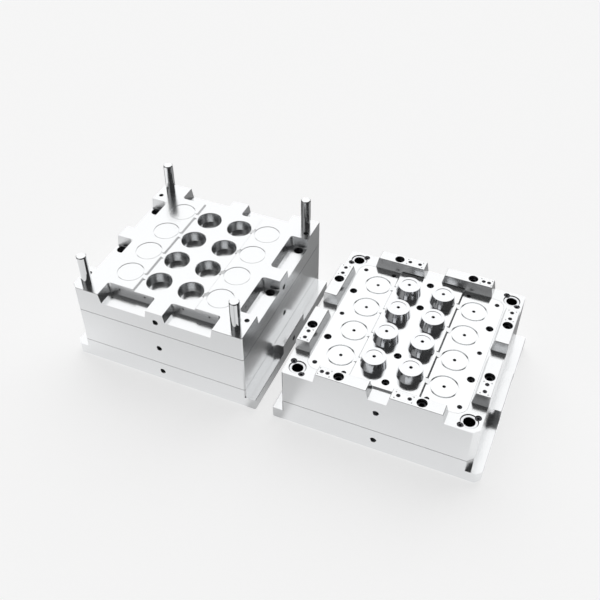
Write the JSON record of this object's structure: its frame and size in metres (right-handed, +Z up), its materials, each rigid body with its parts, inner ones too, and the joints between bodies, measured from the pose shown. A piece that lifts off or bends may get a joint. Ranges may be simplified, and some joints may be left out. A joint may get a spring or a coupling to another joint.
{
  "type": "sauce cup mould",
  "caption": "Two-half hot-runner injection mould for small lidded sauce cups, lying open: a cavity half with leader pins beside a core half with raised cores and wedge interlocks.",
  "frame": {"origin": "on the floor, midway between the two halves", "axes": "+X along the front edges from the cavity half to the core half, +Y to the back, +Z up, away from the clamp plates"},
  "size_m": [1.044, 0.4596, 0.311],
  "materials": {
    "plate_steel": "ground and polished",
    "insert_steel": "mirror polished",
    "core_steel": "mirror polished",
    "pin_steel": "ground",
    "bushing_steel": "ground",
    "pad_steel": "ground",
    "screw_steel": "plain",
    "manifold_steel": "machined"
  },
  "bodies": {
    "root": {"bushing_screws": "screw_steel", "cavity_plate": "plate_steel", "cavity_plate_screws": "screw_steel", "core_clamp_plate": "plate_steel", "core_insert_plate": "insert_steel", "core_plate": "plate_steel", "core_plate_screws": "screw_steel", "cup_core_1": "core_steel", "cup_core_2": "core_steel", "cup_core_3": "core_steel", "cup_core_4": "core_steel", "cup_core_5": "core_steel", "cup_core_6": "core_steel", "cup_core_7": "core_steel", "cup_core_8": "core_steel", "guide_bushing_back_left": "bushing_steel", "guide_bushing_back_right": "bushing_steel", "guide_bushing_front_left": "bushing_steel", "guide_bushing_front_right": "bushing_steel", "hot_clamp_plate": "plate_steel", "hot_clamp_screws": "screw_steel", "hot_runner_manifold": "manifold_steel", "insert_edge_screws": "screw_steel", "insert_side_screws": "screw_steel", "insert_strip_screws": "screw_steel", "leader_pin_back_left": "pin_steel", "leader_pin_back_right": "pin_steel", "leader_pin_front_left": "pin_steel", "leader_pin_front_right": "pin_steel", "locating_ring": "bushing_steel", "locating_ring_screws": "screw_steel", "manifold_plate": "plate_steel", "manifold_riser_back_left": "manifold_steel", "manifold_riser_back_right": "manifold_steel", "manifold_riser_front_left": "manifold_steel", "manifold_riser_front_right": "manifold_steel", "nozzle_1": "manifold_steel", "nozzle_2": "manifold_steel", "nozzle_3": "manifold_steel", "nozzle_4": "manifold_steel", "nozzle_5": "manifold_steel", "nozzle_6": "manifold_steel", "nozzle_7": "manifold_steel", "nozzle_8": "manifold_steel", "pad_screws": "screw_steel", "rest_pad_back_left": "pad_steel", "rest_pad_back_right": "pad_steel", "rest_pad_front_left": "pad_steel", "rest_pad_front_right": "pad_steel", "rest_pad_left_back": "pad_steel", "rest_pad_left_front": "pad_steel", "rest_pad_right_back": "pad_steel", "rest_pad_right_front": "pad_steel", "sprue_bushing": "bushing_steel"}
  },
  "joints": []
}
